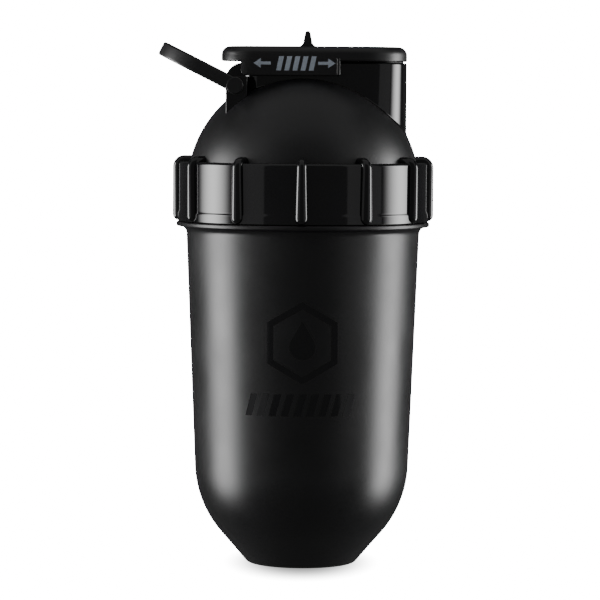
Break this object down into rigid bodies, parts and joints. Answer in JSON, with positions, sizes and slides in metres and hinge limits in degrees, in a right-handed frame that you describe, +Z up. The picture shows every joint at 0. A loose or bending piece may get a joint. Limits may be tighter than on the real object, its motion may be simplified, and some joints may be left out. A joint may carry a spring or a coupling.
{
  "type": "protein shaker bottle",
  "caption": "Black capsule-shaped protein shaker bottle with a ribbed screw collar, a domed lid, a sliding spout cap and a carry loop",
  "frame": {"origin": "the middle of the foot, on the surface that the bottle stands on", "axes": "+Z up along the cup's axis; the cap opens towards -X, where the carry loop is; -Y is the printed front"},
  "size_m": [0.1099, 0.104, 0.2121],
  "materials": {
    "body_matte": "soft-touch matte black",
    "gloss_black": "high-gloss black",
    "satin_black": "satin black",
    "silicone": "dark grey silicone",
    "pale_print": "pale grey-blue print on the sliding cap"
  },
  "bodies": {
    "cup": {"cup_body": "body_matte"},
    "lid": {"lid_dome": "body_matte", "spout_tower": "gloss_black", "rim_gasket": "silicone", "loop_pin": "satin_black"},
    "collar": {"lid_collar": "gloss_black"},
    "slider": {"slide_cap": "satin_black", "slide_seal": "silicone"},
    "loop": {"carry_loop": "satin_black"}
  },
  "joints": [
    {"name": "lid_rise", "type": "slide", "parent": "cup", "child": "lid", "axis": [0, 0, 1], "range_m": [0, 0.00625]},
    {"name": "collar_unscrew", "type": "hinge", "parent": "lid", "child": "collar", "pos_m": [0, 0, 0.15], "axis": [0, 0, 1], "range_deg": [0, 450]},
    {"name": "slide_open", "type": "slide", "parent": "lid", "child": "slider", "axis": [-1, 0, 0], "range_m": [0, 0.0195]},
    {"name": "loop_swing", "type": "hinge", "parent": "lid", "child": "loop", "pos_m": [-0.027, 0, 0.1904], "axis": [0, 1, 0], "range_deg": [-73, 72]}
  ],
  "couplings": [
    {"joint": "lid_rise", "follows": "collar_unscrew", "m_per_rad": 0.00079577}
  ]
}
